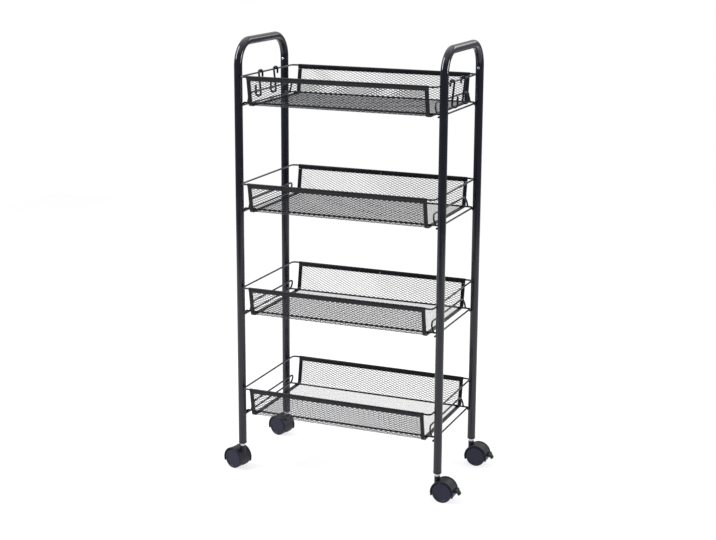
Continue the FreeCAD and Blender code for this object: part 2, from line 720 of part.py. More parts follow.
def s_hook(side):
    """Wire hook over the rim, its shank leaning in past the end guard and its mouth open outwards."""
    lean = math.radians(HOOK_LEAN)
    mouth_r = HOOK_MOUTH / 2
    low = -HOOK_DEPTH - mouth_r
    outer_x = (HOOK_TOP_R + mouth_r - HOOK_DEPTH * math.sin(lean)) / math.cos(lean) + mouth_r
    shank = [
        Vector((HOOK_TOP_R + z * math.sin(lean)) / math.cos(lean), 0, z)
        for z in (HOOK_TOP_R, -HOOK_DEPTH / 2, low)
    ]
    crown = [Vector(-HOOK_TOP_R, 0, -HOOK_TOP_TIP), Vector(-HOOK_TOP_R, 0, HOOK_TOP_R)] + shank[:2]
    mouth = shank[1:] + [Vector(outer_x, 0, low), Vector(outer_x, 0, HOOK_MOUTH_TIP - HOOK_DEPTH)]
    edges = bent_path(crown, HOOK_TOP_R).OrderedEdges + bent_path(mouth, mouth_r).OrderedEdges
    hook = blunt_wire(Part.Wire(edges), HOOK_WIRE_D / 2)
    return hook if side > 0 else hook.mirror(ORIGIN, ALONG_X)


def build_frames():
    """Write the side frames."""
    for name, side in SIDES.items():
        save("upper_frame_" + name, upper_frame(side))
        save("lower_frame_" + name, lower_frame(side))


def build_baskets():
    """Write the pieces of every basket."""
    pieces = {
        "mesh_tray": mesh_tray(),
        "end_bindings": end_bindings(),
        "top_bands": top_bands(),
        "rim_wire": rim_wire(),
        "cradle": cradle(),
    }
    for tier, tier_name in enumerate(TIER_NAMES):
        for name, shape in pieces.items():
            save("_".join(["basket", tier_name, name]), moved(shape, z=rim_z(tier)))


def build_casters():
    """Write the sockets and the pieces of every caster, turned to its heading."""
    for name, side_x, side_y, heading, braked in CASTERS:
        pieces = {
            "stem": caster_stem(),
            "grip_ring": grip_ring(),
            "hood": caster_hood(braked),
            "axle": caster_axle(),
            "wheel_a": caster_wheel(-1),
            "wheel_b": caster_wheel(1),
        }
        if braked:
            pieces["brake_pedal"] = brake_pedal()
        for piece, shape in pieces.items():
            shape.rotate(ORIGIN, UP, heading)
            save("_".join(["caster", name, piece]), moved(shape, side_x * LEG_X, side_y * LEG_Y))
        save("stem_socket_" + name, moved(stem_socket(), side_x * LEG_X, side_y * LEG_Y))


def build_hooks():
    """Write the S-hooks, two at each short end of the top basket."""
    for side_name, side in SIDES.items():
        for place, y in HOOK_PLACES_Y[side_name].items():
            hook = moved(s_hook(side), side * RIM_HALF_LENGTH, y, rim_z(0))
            save("_".join(["s_hook", side_name, place]), hook)


os.makedirs("parts", exist_ok=True)
build_frames()
build_baskets()
build_casters()
build_hooks()
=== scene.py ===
import logging
import math
from dataclasses import dataclass
from enum import Enum

import bpy
from mathutils import Matrix, Vector


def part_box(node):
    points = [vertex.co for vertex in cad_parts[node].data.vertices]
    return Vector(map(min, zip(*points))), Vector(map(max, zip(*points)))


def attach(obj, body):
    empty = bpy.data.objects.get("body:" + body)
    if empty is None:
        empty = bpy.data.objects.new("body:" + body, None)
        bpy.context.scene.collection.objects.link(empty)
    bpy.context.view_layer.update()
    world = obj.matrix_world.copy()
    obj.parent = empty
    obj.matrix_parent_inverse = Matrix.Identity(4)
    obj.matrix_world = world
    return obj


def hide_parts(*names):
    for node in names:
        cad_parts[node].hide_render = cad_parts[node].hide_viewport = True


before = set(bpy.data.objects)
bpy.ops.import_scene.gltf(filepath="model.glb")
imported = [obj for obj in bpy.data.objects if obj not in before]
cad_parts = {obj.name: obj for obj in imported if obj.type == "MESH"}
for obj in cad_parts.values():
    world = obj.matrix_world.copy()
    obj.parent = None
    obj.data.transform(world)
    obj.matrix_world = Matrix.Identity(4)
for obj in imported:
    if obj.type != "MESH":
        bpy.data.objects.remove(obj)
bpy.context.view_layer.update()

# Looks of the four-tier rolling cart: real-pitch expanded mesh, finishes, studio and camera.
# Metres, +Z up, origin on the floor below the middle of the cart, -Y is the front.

LOG = logging.getLogger("cart")
MM = 0.001
PHOTO_WIDTH = 716
# Most values of a noise texture lie between these two.
NOISE_LOW = 0.3
NOISE_HIGH = 0.7
# Distance after which a wave texture of scale 1 repeats.
WAVE_PERIOD = math.tau / 20


class Tier(Enum):
    """The four baskets, from the top down."""

    TOP = "top"
    UPPER = "upper"
    LOWER = "lower"
    BOTTOM = "bottom"


class Side(Enum):
    """The two side frames."""

    LEFT = "left"
    RIGHT = "right"


class Corner(Enum):
    """The four casters."""

    FRONT_LEFT = "front_left"
    REAR_LEFT = "rear_left"
    FRONT_RIGHT = "front_right"
    REAR_RIGHT = "rear_right"


class HookPlace(Enum):
    """The two S-hooks of a short end."""

    FRONT = "front"
    REAR = "rear"


def to_linear(hex_colour: str) -> tuple[float, float, float, float]:
    """Turn an sRGB hex colour into linear values with full alpha.

    Args:
        hex_colour: colour such as "#1a1a1e".

    Returns:
        Red, green, blue and alpha.
    """
    # The curve is the sRGB standard's own.
    channels = [int(hex_colour[start:start + 2], 16) / 255 for start in (1, 3, 5)]
    linear = [c / 12.92 if c <= 0.04045 else ((c + 0.055) / 1.055) ** 2.4 for c in channels]
    return (linear[0], linear[1], linear[2], 1.0)


def per_metre(size_mm: float) -> float:
    """Scale of a texture whose features are a given size in millimetres."""
    return 1.0 / (size_mm * MM)


def add_node(
    tree: bpy.types.NodeTree, kind: str, inputs: dict[str | int, object] | None = None, **settings: object
) -> bpy.types.Node:
    """Add a node with its settings, values and links.

    Args:
        tree: node tree to add to.
        kind: type name of the node.
        inputs: socket name or index to a value, or to the output socket that feeds it.
        **settings: attributes of the node.

    Returns:
        The new node.
    """
    node = tree.nodes.new(kind)
    for name, value in settings.items():
        setattr(node, name, value)
    for socket, value in (inputs or {}).items():
        if isinstance(value, bpy.types.NodeSocket):
            tree.links.new(value, node.inputs[socket])
        else:
            node.inputs[socket].default_value = value
    return node


@dataclass(frozen=True)
class Finish:
    """A surface as its maker left it. Each kind of finish adds its own shader."""

    name: str

    def material(self) -> bpy.types.Material:
        """Make the material on its first use.

        Returns:
            The material that has the finish's name.
        """
        if self.name in bpy.data.materials:
            return bpy.data.materials[self.name]
        material = bpy.data.materials.new(self.name)
        material.use_nodes = True
        tree = material.node_tree
        tree.nodes.clear()
        place = add_node(tree, "ShaderNodeTexCoord").outputs["Object"]
        shader = self.shade(tree, place)
        add_node(tree, "ShaderNodeOutputMaterial", {"Surface": shader.outputs[0]})
        return material

    def shade(self, tree: bpy.types.NodeTree, place: bpy.types.NodeSocket) -> bpy.types.Node:
        """Add the shader of the finish.

        Args:
            tree: node tree of the material.
            place: coordinates of the surface in metres.

        Returns:
            The shader node.
        """
        raise NotImplementedError


@dataclass(frozen=True)
class PowderCoat(Finish):
    """Black polyester powder baked on steel: a deep blue black with a wet gloss and fine orange peel.

    Above the height bare_from the steel is left out of the coat, as plated spring buttons are.
    """

    deep: str = "#0d0f1b"
    thin: str = "#131524"
    gloss_low: float = 0.10
    gloss_high: float = 0.16
    cloud_mm: float = 24.0
    peel_mm: float = 1.6
    peel_detail: float = 1.0
    peel_depth_mm: float = 0.003
    ior: float = 1.5
    bare_from: float | None = None
    plate: str = "#c9ccd2"
    plate_gloss: float = 0.38

    def shade(self, tree: bpy.types.NodeTree, place: bpy.types.NodeSocket) -> bpy.types.Node:
        """Add the coat, clouded where the powder lies thin.

        Args:
            tree: node tree of the material.
            place: coordinates of the surface in metres.

        Returns:
            The shader node.
        """
        cloud = add_node(tree, "ShaderNodeTexNoise", {"Vector": place, "Scale": per_metre(self.cloud_mm)})
        share = add_node(
            tree,
            "ShaderNodeMapRange",
            {"Value": cloud.outputs[0], "From Min": NOISE_LOW, "From Max": NOISE_HIGH},
        ).outputs[0]
        tint = add_node(
            tree,
            "ShaderNodeMix",
            {0: share, 6: to_linear(self.deep), 7: to_linear(self.thin)},
            data_type="RGBA",
        )
        gloss = add_node(
            tree,
            "ShaderNodeMapRange",
            {"Value": share, "To Min": self.gloss_low, "To Max": self.gloss_high},
        )
        # Fine orange peel is under 1 mm wide, drawn coarser on tube and wire so that it shows.
        peel = add_node(
            tree,
            "ShaderNodeTexNoise",
            {"Vector": place, "Scale": per_metre(self.peel_mm), "Detail": self.peel_detail},
        )
        bump = add_node(
            tree, "ShaderNodeBump", {"Height": peel.outputs[0], "Distance": self.peel_depth_mm * MM}
        )
        shader = add_node(
            tree,
            "ShaderNodeBsdfPrincipled",
            {
                "Base Color": tint.outputs[2],
                "Roughness": gloss.outputs[0],
                "Normal": bump.outputs[0],
                "IOR": self.ior,
            },
        )
        if self.bare_from is not None:
            self.leave_bare(tree, place, shader)
        return shader

    def leave_bare(
        self, tree: bpy.types.NodeTree, place: bpy.types.NodeSocket, shader: bpy.types.Node
    ) -> None:
        """Turn the coat into plated steel above a height.

        Args:
            tree: node tree of the material.
            place: coordinates of the surface in metres.
            shader: shader of the coat, fed with its colour and gloss.
        """
        height = add_node(tree, "ShaderNodeSeparateXYZ", {0: place}).outputs["Z"]
        bare = add_node(
            tree, "ShaderNodeMath", {0: height, 1: self.bare_from}, operation="GREATER_THAN"
        ).outputs[0]
        colour = shader.inputs["Base Color"].links[0].from_socket
        gloss = shader.inputs["Roughness"].links[0].from_socket
        tint = add_node(
            tree, "ShaderNodeMix", {0: bare, 6: colour, 7: to_linear(self.plate)}, data_type="RGBA"
        )
        sheen = add_node(tree, "ShaderNodeMix", {0: bare, 2: gloss, 3: self.plate_gloss})
        tree.links.new(tint.outputs[2], shader.inputs["Base Color"])
        tree.links.new(sheen.outputs[0], shader.inputs["Roughness"])
        tree.links.new(bare, shader.inputs["Metallic"])


@dataclass(frozen=True)
class MouldedPlastic(Finish):
    """Black injection-moulded plastic: a soft sheen over fine grain, cloudy where the melt flowed."""

    dark: str
    pale: str
    gloss_low: float
    gloss_high: float
    ior: float
    flow_mm: float = 9.0
    flow_swirl: float = 0.6
    grain_mm: float = 0.5
    grain_detail: float = 2.0
    grain_depth_mm: float = 0.012

    def shade(self, tree: bpy.types.NodeTree, place: bpy.types.NodeSocket) -> bpy.types.Node:
        """Add the plastic, with the flow of the melt and the grain of the mould.

        Args:
            tree: node tree of the material.
            place: coordinates of the surface in metres.

        Returns:
            The shader node.
        """
        flow = add_node(
            tree,
            "ShaderNodeTexNoise",
            {"Vector": place, "Scale": per_metre(self.flow_mm), "Distortion": self.flow_swirl},
        )
        share = add_node(
            tree,
            "ShaderNodeMapRange",
            {"Value": flow.outputs[0], "From Min": NOISE_LOW, "From Max": NOISE_HIGH},
        ).outputs[0]
        tint = add_node(
            tree,
            "ShaderNodeMix",
            {0: share, 6: to_linear(self.dark), 7: to_linear(self.pale)},
            data_type="RGBA",
        )
        gloss = add_node(
            tree,
            "ShaderNodeMapRange",
            {"Value": share, "To Min": self.gloss_low, "To Max": self.gloss_high},
        )
        # The grain of a spark-eroded mould is about 0.1 mm, drawn coarser so that it shows.
        grain = add_node(
            tree,
            "ShaderNodeTexNoise",
            {"Vector": place, "Scale": per_metre(self.grain_mm), "Detail": self.grain_detail},
        )
        bump = add_node(
            tree, "ShaderNodeBump", {"Height": grain.outputs[0], "Distance": self.grain_depth_mm * MM}
        )
        return add_node(
            tree,
            "ShaderNodeBsdfPrincipled",
            {
                "Base Color": tint.outputs[2],
                "Roughness": gloss.outputs[0],
                "Normal": bump.outputs[0],
                "IOR": self.ior,
            },
        )


@dataclass(frozen=True)
class ZincPlate(Finish):
    """Bright zinc on turned steel: a pale mirror with faint rings left by the lathe."""

    name: str = "zinc_plated_turned_steel"
    bright: str = "#d3d6da"
    dull: str = "#aeb2b8"
    gloss_low: float = 0.18
    gloss_high: float = 0.34
    cloud_mm: float = 3.0
    ring_mm: float = 0.35
    ring_depth_mm: float = 0.006

    def shade(self, tree: bpy.types.NodeTree, place: bpy.types.NodeSocket) -> bpy.types.Node:
        """Add the plate, clouded over its rings.

        Args:
            tree: node tree of the material.
            place: coordinates of the surface in metres.

        Returns:
            The shader node.
        """
        cloud = add_node(tree, "ShaderNodeTexNoise", {"Vector": place, "Scale": per_metre(self.cloud_mm)})
        tint = add_node(
            tree,
            "ShaderNodeMix",
            {0: cloud.outputs[0], 6: to_linear(self.bright), 7: to_linear(self.dull)},
            data_type="RGBA",
        )
        gloss = add_node(
            tree,
            "ShaderNodeMapRange",
            {"Value": cloud.outputs[0], "To Min": self.gloss_low, "To Max": self.gloss_high},
        )
        # The lathe leaves rings about 0.1 mm apart, drawn coarser so that they show.
        rings = add_node(
            tree,
            "ShaderNodeTexWave",
            {"Vector": place, "Scale": WAVE_PERIOD * per_metre(self.ring_mm)},
            bands_direction="Z",
        )
        bump = add_node(
            tree, "ShaderNodeBump", {"Height": rings.outputs[1], "Distance": self.ring_depth_mm * MM}
        )
        return add_node(
            tree,
            "ShaderNodeBsdfPrincipled",
            {
                "Base Color": tint.outputs[2],
                "Metallic": 1.0,
                "Roughness": gloss.outputs[0],
                "Normal": bump.outputs[0],
            },
        )


@dataclass(frozen=True)
class LightTable(Finish):
    """Opal acrylic lit from below: an even white ground that swallows most of the shadow."""

    name: str = "opal_acrylic_light_table"
    body: str = "#959595"
    cloudy: str = "#8f8f8f"
    cloud_mm: float = 120.0
    roughness: float = 0.9
    light: str = "#ffffff"
    glow: float = 0.77

    def shade(self, tree: bpy.types.NodeTree, place: bpy.types.NodeSocket) -> bpy.types.Node:
        """Add the acrylic, faintly clouded and without gloss.

        Args:
            tree: node tree of the material.
            place: coordinates of the surface in metres.

        Returns:
            The shader node.
        """
        cloud = add_node(tree, "ShaderNodeTexNoise", {"Vector": place, "Scale": per_metre(self.cloud_mm)})
        tint = add_node(
            tree,
            "ShaderNodeMix",
            {0: cloud.outputs[0], 6: to_linear(self.body), 7: to_linear(self.cloudy)},
            data_type="RGBA",
        )
        return add_node(
            tree,
            "ShaderNodeBsdfPrincipled",
            {
                "Base Color": tint.outputs[2],
                "Roughness": self.roughness,
                "Specular IOR Level": 0.0,
                "Emission Color": to_linear(self.light),
                "Emission Strength": self.glow,
            },
        )


# The strips, hoods and wheels have an IOR below the usual 1.5, matched to how dark they look.
# Smooth drawn tube: the coat lies even, so clean highlights run down the legs.
TUBE_COAT = PowderCoat("polyester_powder_coat_on_tube")
# Thin wire: the coat gathers unevenly, so its clouds and its peel are smaller.
WIRE_COAT = PowderCoat("polyester_powder_coat_on_wire", cloud_mm=12.0, peel_mm=1.2)
# Slit sheet: narrow strands, on which the coat shows as small glints.
SHEET_COAT = PowderCoat("polyester_powder_coat_on_sheet", cloud_mm=18.0, peel_mm=0.8, peel_depth_mm=0.002)
# Folded strip: greyer and duller than the tube, so the bands stay dark and even.
STRIP_COAT = PowderCoat(
    "polyester_powder_coat_on_strip", "#15161b", "#1b1c22", 0.24, 0.32, cloud_mm=18.0, peel_mm=0.8, ior=1.31
)
# Bent hook: as the other wire, with the smallest clouds.
HOOK_COAT = PowderCoat("polyester_powder_coat_on_hook", cloud_mm=8.0, peel_mm=1.2)
# Polypropylene: a broad, soft sheen on the hoods and the pedals.
HOOD_PLASTIC = MouldedPlastic("moulded_polypropylene_hood", "#0a0b1a", "#101222", 0.40, 0.52, 1.42)
# Polyamide: a bluer black, a little glossier than the hoods.
WHEEL_PLASTIC = MouldedPlastic("moulded_polyamide_wheel", "#080a28", "#0f1232", 0.36, 0.50, 1.45)
# Polyethylene: a waxy dark flange at the foot of each leg.
SOCKET_PLASTIC = MouldedPlastic("moulded_polyethylene_plug", "#0d0e17", "#141520", 0.38, 0.5, 1.51)
# Turned stems, rings and axles: small bright glints below the legs.
STEM_PLATE = ZincPlate()
# Bare butt seams: a bright tick on the top band.
SEAM_PLATE = ZincPlate("zinc_plated_seam", ring_mm=0.6)
# The ground that the cart stands on.
FLOOR = LightTable()


def dress(node: str, finish: Finish) -> None:
    """Give a construction node its finish.

    Args:
        node: name of the node.
        finish: finish of the whole node.
    """
    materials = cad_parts[node].data.materials
    materials.clear()
    materials.append(finish.material())


@dataclass(frozen=True)
class WeldBead:
    """Ring of metal squeezed out round a welded contact, with the ripples of the weld.

    The ring runs through middle + first and middle + second, and climbs by rise on the first axis.
    """

    middle: Vector
    first: Vector
    second: Vector
    rise: Vector
    radius: float
    ripples: int = 7
    ripple_share: float = 0.18
    ring_steps: int = 28
    section_steps: int = 8

    def centre(self, turn: float) -> Vector:
        """Point on the middle line of the bead."""
        across = self.first * math.cos(turn) + self.rise * abs(math.cos(turn))
        return self.middle + across + self.second * math.sin(turn)

    def section(self, turn: float) -> list[Vector]:
        """Points round the bead at one place of the ring.

        Args:
            turn: angle round the ring.

        Returns:
            The points of a closed section.
        """
        step = math.tau / self.ring_steps
        centre = self.centre(turn)
        along = (self.centre(turn + step) - self.centre(turn - step)).normalized()
        out = centre - self.middle
        out = (out - along * out.dot(along)).normalized()
        side = along.cross(out)
        swell = self.radius * (1 + self.ripple_share * math.sin(self.ripples * turn))
        angles = [math.tau * i / self.section_steps for i in range(self.section_steps)]
        return [centre + (out * math.cos(angle) + side * math.sin(angle)) * swell for angle in angles]


def bead_object(name: str, beads: list[WeldBead], slot: str, finish: Finish) -> bpy.types.Object:
    """Build weld beads as one piece on the cart.

    Args:
        name: name of the piece.
        beads: beads of the piece.
        slot: material slot of the library; not used.
        finish: finish of the beads.

    Returns:
        The new object.
    """
    points: list[Vector] = []
    faces: list[tuple[int, ...]] = []
    for bead in beads:
        rings, sides, base = bead.ring_steps, bead.section_steps, len(points)
        for ring in range(rings):
            points += bead.section(math.tau * ring / rings)
            here, there = base + ring * sides, base + (ring + 1) % rings * sides
            for i in range(sides):
                j = (i + 1) % sides
                faces.append((here + i, here + j, there + j, there + i))
    mesh = bpy.data.meshes.new(name)
    mesh.from_pydata(points, [], faces)
    mesh.shade_smooth()
    mesh.materials.append(finish.material())
    beads_object = bpy.data.objects.new(name, mesh)
    bpy.context.scene.collection.objects.link(beads_object)
    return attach(beads_object, "cart")


@dataclass
class FoldLine:
    """Section of a folded tray: floor, two folds and two leaning walls, measured along the sheet.

    Distances run from the middle of the floor, below 0 towards the front.
    """

    floor_half: float
    drop: float
    lean: float
    radius: float
    top_gap: float

    def __post_init__(self) -> None:
        """Work out the runs of the section."""
        self.turn = math.atan2(self.drop, self.lean)
        setback = self.radius * math.tan(self.turn / 2)
        self.flat = self.floor_half - setback
        self.bend = self.radius * self.turn
        self.end = self.flat + self.bend + math.hypot(self.drop, self.lean) - setback - self.top_gap

    def at(self, distance: float) -> tuple[Vector, Vector]:
        """Find a point of the section.

        Args:
            distance: way along the sheet from the middle of the floor.

        Returns:
            The point and the direction out of the sheet, to the inside of the basket, both at X = 0.
        """
        side = math.copysign(1.0, distance)
        along = abs(distance)
        angle = min(max(along - self.flat, 0.0) / self.radius, self.turn)
        out = Vector((0.0, -side * math.sin(angle), math.cos(angle)))
        centre = Vector((0.0, side * min(along, self.flat), self.radius - self.drop))
        climb = max(along - self.flat - self.bend, 0.0)
        up = Vector((0.0, side * math.cos(angle), math.sin(angle)))
        return centre - out * self.radius + up * climb, out


@dataclass
class ExpandedTray:
    """Expanded steel sheet folded into the floor and the two long walls of a basket."""

    long_way: float = 10.4 * MM
    short_way: float = 4.8 * MM
    strand: float = 0.76 * MM
    gauge: float = 0.25 * MM
    blunt: float = 0.6 * MM
    twist: float = 0.14 * MM
    frame_gauge: float = 1.2 * MM
    wall_lean: float = 9.5 * MM
    fold_radius: float = 6.0 * MM

    def fold_line(self, tier: Tier) -> FoldLine:
        """Work out the section of the tray from the frame's sizes.

        Args:
            tier: basket whose sizes the frame gives.

        Returns:
            The section, with the rim's axis at height 0.
        """
        rim_low, rim_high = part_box(f"basket_{tier.value}_rim_wire")
        tray_low, tray_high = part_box(f"basket_{tier.value}_mesh_tray")
        wire_radius = (rim_high.z - rim_low.z) / 2
        rim_y = rim_high.y - wire_radius
        rim_z = (rim_high.z + rim_low.z) / 2
        drop = rim_z - tray_low.z - self.frame_gauge / 2
        top_gap = rim_z - tray_high.z
        return FoldLine(rim_y - self.wall_lean, drop, self.wall_lean, self.fold_radius, top_gap)

    def hole(self, half_long: float, half_short: float) -> list[tuple[float, float]]:
        """Outline one diamond hole, whose tips are blunt.

        Args:
            half_long: half the pitch the long way.
            half_short: half the pitch the short way.

        Returns:
            The six corners about the middle of the hole.
        """
        shrink = 1 - self.strand / 2 * math.hypot(1 / half_long, 1 / half_short)
        tip = half_long * shrink - self.blunt
        tip_half = self.blunt * half_short / half_long
        brow = half_short * shrink
        return [(tip, tip_half), (0, brow), (-tip, tip_half), (-tip, -tip_half), (0, -brow), (tip, -tip_half)]

    def mesh(self, tier: Tier) -> bpy.types.Mesh:
        """Build the lattice of strands as one closed mesh.

        Args:
            tier: basket whose sizes the frame gives.

        Returns:
            The mesh, with the rim's axis at height 0.
        """
        fold = self.fold_line(tier)
        half_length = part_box(f"basket_{tier.value}_mesh_tray")[1].x
        columns = round(2 * half_length / self.long_way)
        half_long = half_length / columns
        rows = 2 * round(2 * fold.end / self.short_way)
        half_short = 2 * fold.end / rows
        hole = self.hole(half_long, half_short)
        points: list[Vector] = []
        faces: list[tuple[int, ...]] = []
        knuckles: dict[tuple[int, int], int] = {}
        # Sides that only one diamond has so far, in the order they are met.
        open_sides: dict[tuple[int, int], bool] = {}

        def add_pair(x: float, distance: float, lift: float = 0.0) -> int:
            """Add the inner and the outer point of the sheet at a place.

            Args:
                x: place along the basket.
                distance: way along the sheet from the middle of the floor.
                lift: offset towards the inside of the basket.

            Returns:
                Index of the inner point, which the outer one follows.
            """
            point, out = fold.at(distance)
            point.x = x
            points.append(point + out * (lift + self.gauge / 2))
            points.append(point + out * (lift - self.gauge / 2))
            return len(points) - 2

        def knuckle(column: int, row: int) -> int:
            """Find the knuckle that neighbouring diamonds share, or add it.

            Args:
                column: place along the basket in half pitches.
                row: place along the sheet in half pitches.

            Returns:
                Index of its inner point.
            """
            if (column, row) not in knuckles:
                knuckles[(column, row)] = add_pair(column * half_long, row * half_short - fold.end)
            return knuckles[(column, row)]

        for row in range(1, rows):
            in_row = columns - (row + 1) % 2
            for place in range(in_row):
                column = 2 * place - in_row + 1
                ring = [
                    knuckle(column + 1, row),
                    knuckle(column, row + 1),
                    knuckle(column - 1, row),
                    knuckle(column, row - 1),
                ]
                middle = row * half_short - fold.end
                rim = [
                    add_pair(column * half_long + x, middle + y, math.copysign(self.twist, y))
                    for x, y in hole
                ]
                right, top, left, bottom = ring
                plates = [
                    (right, top, rim[1], rim[0]),
                    (top, left, rim[2], rim[1]),
                    (left, bottom, rim[4], rim[3]),
                    (bottom, right, rim[5], rim[4]),
                    (right, rim[0], rim[5]),
                    (left, rim[3], rim[2]),
                ]
                for plate in plates:
                    faces.append(plate)
                    faces.append(tuple(index + 1 for index in reversed(plate)))
                for first, second in zip(rim, rim[1:] + rim[:1]):
                    faces.append((first, second, second + 1, first + 1))
                for first, second in zip(ring, ring[1:] + ring[:1]):
                    if not open_sides.pop((second, first), False):
                        open_sides[(first, second)] = True
        for first, second in open_sides:
            faces.append((second, first, first + 1, second + 1))
        mesh = bpy.data.meshes.new("expanded_tray")
        mesh.from_pydata(points, [], faces)
        mesh.materials.append(SHEET_COAT.material())
        return mesh


@dataclass
class Basket:
    """One tier: mesh tray, folded strips, rim wire and wire cradle."""

    tier: Tier
    tray: ExpandedTray
    wire_radius: float = 1.75 * MM
    guard_x: float = 193.45 * MM
    floor_wire_y: float = 95.0 * MM
    floor_wire_drop: float = 52.15 * MM
    rail_drop: float = 55.95 * MM
    seam_from: float = 1.0 * MM
    seam_to: float = 6.4 * MM
    seam_high: float = 2.55 * MM
    seam_low: float = 1.65 * MM
    seam_spread: float = 0.225 * MM
    bead_radius: float = 0.45 * MM

    def rim(self) -> Vector:
        """Point on the rim wire's axis at the middle of the rear long side."""
        low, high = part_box(f"basket_{self.tier.value}_rim_wire")
        return Vector((0.0, high.y - self.wire_radius, (low.z + high.z) / 2))

    def foot_beads(self) -> list[WeldBead]:
        """Set the beads round the feet of the end guards, on the floor wires.

        Returns:
            One bead for each foot.
        """
        height = self.rim().z - self.floor_wire_drop
        reach = self.wire_radius
        return [
            WeldBead(
                Vector((side * self.guard_x, depth * self.floor_wire_y, height)),
                Vector((reach, 0.0, 0.0)),
                Vector((0.0, reach, 0.0)),
                Vector((0.0, 0.0, reach)),
                self.bead_radius,
            )
            for side in (-1, 1)
            for depth in (-1, 1)
        ]

    def seam_beads(self) -> list[WeldBead]:
        """Set the beads along the butt seam at the middle of each folded top band, on its inner face.

        Returns:
            The front and the rear bead.
        """
        rim = self.rim()
        fold = self.tray.fold_line(self.tier)
        beads = []
        for depth in (-1, 1):
            down = Vector((0.0, -depth * fold.lean, -fold.drop)).normalized()
            inside = Vector((0.0, depth * down.z, -depth * down.y))
            crown = Vector((0.0, depth * rim.y, rim.z))
            top = crown + down * self.seam_from + inside * self.seam_high
            foot = crown + down * self.seam_to + inside * self.seam_low
            beads.append(
                WeldBead(
                    (top + foot) / 2,
                    Vector((self.seam_spread, 0.0, 0.0)),
                    (foot - top) / 2,
                    Vector((0.0, 0.0, 0.0)),
                    self.bead_radius,
                )
            )
        return beads

    def seam_finish(self) -> tuple[str, Finish]:
        """Slot and finish of the seams, which the photograph shows bare on the two middle tiers."""
        bare = self.tier in (Tier.UPPER, Tier.LOWER)
        return ("plated_steel", SEAM_PLATE) if bare else ("powder_coated_strip", STRIP_COAT)

    def build(self, mesh: bpy.types.Mesh) -> bpy.types.Object:
        """Place the real-pitch mesh where the plain sheet is.

        Args:
            mesh: tray mesh with the rim's axis at height 0.

        Returns:
            The tray object.
        """
        name = f"basket_{self.tier.value}"
        tray = bpy.data.objects.new(f"{name}_expanded_mesh", mesh)
        bpy.context.scene.collection.objects.link(tray)
        tray.location.z = self.rim().z
        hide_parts(f"basket_{self.tier.value}_mesh_tray")
        bead_object(f"{name}_weld_beads", self.foot_beads(), "powder_coated_wire", WIRE_COAT)
        bead_object(f"{name}_band_seams", self.seam_beads(), *self.seam_finish())
        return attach(tray, "cart")

    def dress(self) -> None:
        """Give the construction nodes of the basket their finishes."""
        for piece, finish in (
            ("end_bindings", STRIP_COAT),
            ("top_bands", STRIP_COAT),
            ("rim_wire", WIRE_COAT),
            ("cradle", WIRE_COAT),
        ):
            dress(f"basket_{self.tier.value}_{piece}", finish)


@dataclass
class SideFrame:
    """Upper and lower tube frame of one side."""

    side: Side
    tube_radius: float = 8.0 * MM
    contact_sink: float = 0.2 * MM
    contact_along: float = 2.7 * MM
    contact_up: float = 1.4 * MM
    bead_radius: float = 0.42 * MM

    def build(self, baskets: list[Basket]) -> bpy.types.Object:
        """Add the beads where the cross rails are welded to the legs.

        Args:
            baskets: baskets that hang on the rails.

        Returns:
            The beads as one object.
        """
        low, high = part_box(f"lower_frame_{self.side.value}")
        facing = math.copysign(1.0, high.x + low.x)
        leg_x = max(abs(low.x), abs(high.x)) - self.tube_radius
        leg_y = high.y - self.tube_radius
        beads = [
            WeldBead(
                Vector(
                    (
                        facing * (leg_x - self.tube_radius + self.contact_sink),
                        depth * leg_y,
                        basket.rim().z - basket.rail_drop,
                    )
                ),
                Vector((0.0, self.contact_along, 0.0)),
                Vector((0.0, 0.0, self.contact_up)),
                Vector((0.0, 0.0, 0.0)),
                self.bead_radius,
            )
            for basket in baskets
            for depth in (-1, 1)
        ]
        return bead_object(f"side_frame_{self.side.value}_weld_beads", beads, "powder_coated_tube", TUBE_COAT)

    def dress(self) -> None:
        """Coat both halves of the frame, up to the seam where the plated spigots start."""
        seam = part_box(f"upper_frame_{self.side.value}")[0].z
        dress(f"upper_frame_{self.side.value}", TUBE_COAT)
        dress(f"lower_frame_{self.side.value}", PowderCoat("polyester_powder_coat_on_leg", bare_from=seam))


@dataclass
class Caster:
    """Twin-wheel caster with its socket in the leg."""

    corner: Corner

    def dress(self) -> None:
        """Give the pieces of the caster their finishes."""
        name = self.corner.value
        dress(f"stem_socket_{name}", SOCKET_PLASTIC)
        for piece, finish in (
            ("stem", STEM_PLATE),
            ("grip_ring", STEM_PLATE),
            ("axle", STEM_PLATE),
            ("hood", HOOD_PLASTIC),
            ("wheel_a", WHEEL_PLASTIC),
            ("wheel_b", WHEEL_PLASTIC),
        ):
            dress(f"caster_{name}_{piece}", finish)
        if f"caster_{name}_brake_pedal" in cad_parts:
            dress(f"caster_{name}_brake_pedal", HOOD_PLASTIC)


@dataclass
class SHook:
    """Wire hook on a short end of the top basket."""

    side: Side
    place: HookPlace

    def dress(self) -> None:
        """Coat the hook."""
        dress(f"s_hook_{self.side.value}_{self.place.value}", HOOK_COAT)


